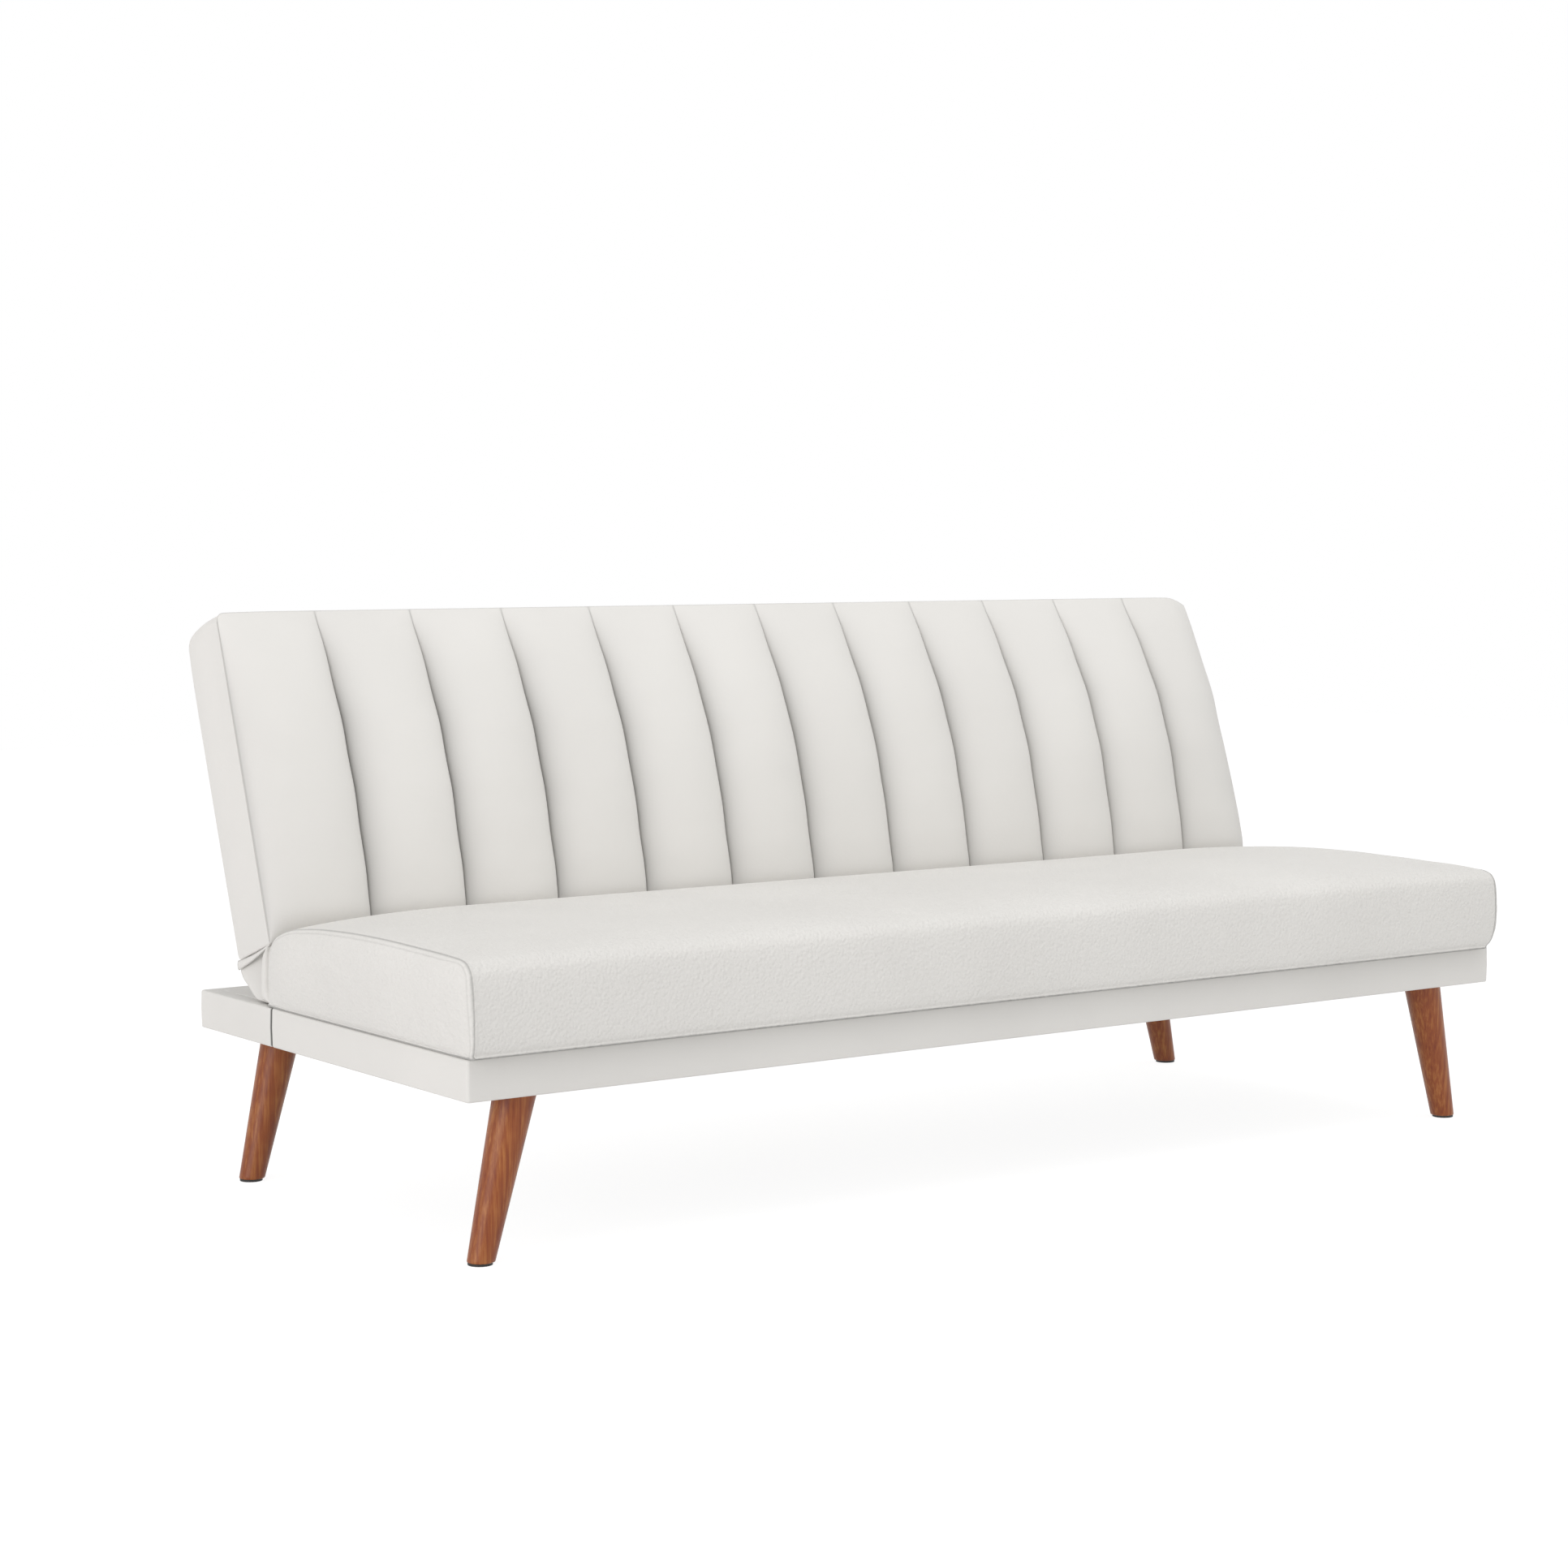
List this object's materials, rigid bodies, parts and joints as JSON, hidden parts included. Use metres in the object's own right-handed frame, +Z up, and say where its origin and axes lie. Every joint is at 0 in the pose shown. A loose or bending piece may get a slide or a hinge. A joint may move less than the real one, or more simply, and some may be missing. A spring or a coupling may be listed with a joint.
{
  "type": "click clack sofa bed",
  "caption": "Armless sofa bed with a channelled back that reclines on click-clack ratchet hinges until it lies flat behind the seat, on a wooden rail and splayed legs.",
  "frame": {"origin": "on the floor under the middle of the sofa's bounding box, with the back upright", "axes": "+X along the sofa to the right as seen from in front, -Y to the front, +Z up"},
  "size_m": [1.862, 0.8041, 0.8004],
  "materials": {
    "faux_leather": "off-white faux leather, fine pebble grain, satin",
    "frame_timber": "sawn softwood, unfinished",
    "stained_wood": "reddish-brown stained wood under clear gloss lacquer",
    "bright_steel": "zinc plated",
    "plated_hinge_steel": "pressed steel, zinc plated",
    "spring_steel": "oiled spring wire",
    "glide_plastic": "matt black",
    "seat_foam": "open-cell foam",
    "dust_cloth": "black non-woven cloth",
    "webbing": "woven elastic strap"
  },
  "bodies": {
    "base": {"front_rail_cover": "faux_leather", "rear_rail_cover": "faux_leather", "seat_cover": "faux_leather", "crease_cover": "faux_leather", "front_rail": "frame_timber", "rear_rail": "frame_timber", "front_side_rail_left": "frame_timber", "front_side_rail_right": "frame_timber", "rear_side_rail_left": "frame_timber", "rear_side_rail_right": "frame_timber", "cross_rail": "frame_timber", "corner_block_front_left": "frame_timber", "corner_block_front_right": "frame_timber", "corner_block_rear_left": "frame_timber", "corner_block_rear_right": "frame_timber", "seat_front_board": "frame_timber", "seat_rear_board": "frame_timber", "seat_end_board_left": "frame_timber", "seat_end_board_right": "frame_timber", "leg_front_left": "stained_wood", "leg_front_right": "stained_wood", "leg_rear_left": "stained_wood", "leg_rear_right": "stained_wood", "side_joint_plate_left": "bright_steel", "side_joint_plate_right": "bright_steel", "leg_bolt_front_left": "bright_steel", "leg_bolt_front_right": "bright_steel", "leg_bolt_rear_left": "bright_steel", "leg_bolt_rear_right": "bright_steel", "seat_springs": "bright_steel", "hinge_seat_plate_left": "plated_hinge_steel", "hinge_seat_plate_right": "plated_hinge_steel", "hinge_pin_left": "plated_hinge_steel", "hinge_pin_right": "plated_hinge_steel", "ratchet_quadrant_left": "plated_hinge_steel", "ratchet_quadrant_right": "plated_hinge_steel", "foot_glide_front_left": "glide_plastic", "foot_glide_front_right": "glide_plastic", "foot_glide_rear_left": "glide_plastic", "foot_glide_rear_right": "glide_plastic", "seat_foam": "seat_foam", "seat_dust_cover": "dust_cloth"},
    "backrest": {"back_stile_left": "frame_timber", "back_stile_right": "frame_timber", "back_top_board": "frame_timber", "back_bottom_board": "frame_timber", "back_webbing": "webbing", "back_foam": "seat_foam", "back_front_panel": "faux_leather", "back_cover": "faux_leather", "hinge_back_arm_left": "plated_hinge_steel", "hinge_back_arm_right": "plated_hinge_steel", "pawl_pin_left": "plated_hinge_steel", "pawl_pin_right": "plated_hinge_steel", "pawl_spring_left": "spring_steel", "pawl_spring_right": "spring_steel"},
    "pawl_left": {"pawl_left": "plated_hinge_steel"},
    "pawl_right": {"pawl_right": "plated_hinge_steel"}
  },
  "joints": [
    {"name": "back_recline", "type": "hinge", "parent": "base", "child": "backrest", "pos_m": [0, 0.20423, 0.3493], "axis": [-1, 0, 0], "range_deg": [-8, 70.9], "deforming": ["crease_cover"]},
    {"name": "pawl_left_lift", "type": "hinge", "parent": "backrest", "child": "pawl_left", "pos_m": [-0.8728, 0.252, 0.36024], "axis": [1, 0, 0], "range_deg": [0, 14], "stiffness_Nm_per_rad": 0.3, "springref_deg": -20.05, "deforming": ["pawl_spring_left"]},
    {"name": "pawl_right_lift", "type": "hinge", "parent": "backrest", "child": "pawl_right", "pos_m": [0.8728, 0.252, 0.36024], "axis": [1, 0, 0], "range_deg": [0, 14], "stiffness_Nm_per_rad": 0.3, "springref_deg": -20.05, "deforming": ["pawl_spring_right"]}
  ]
}
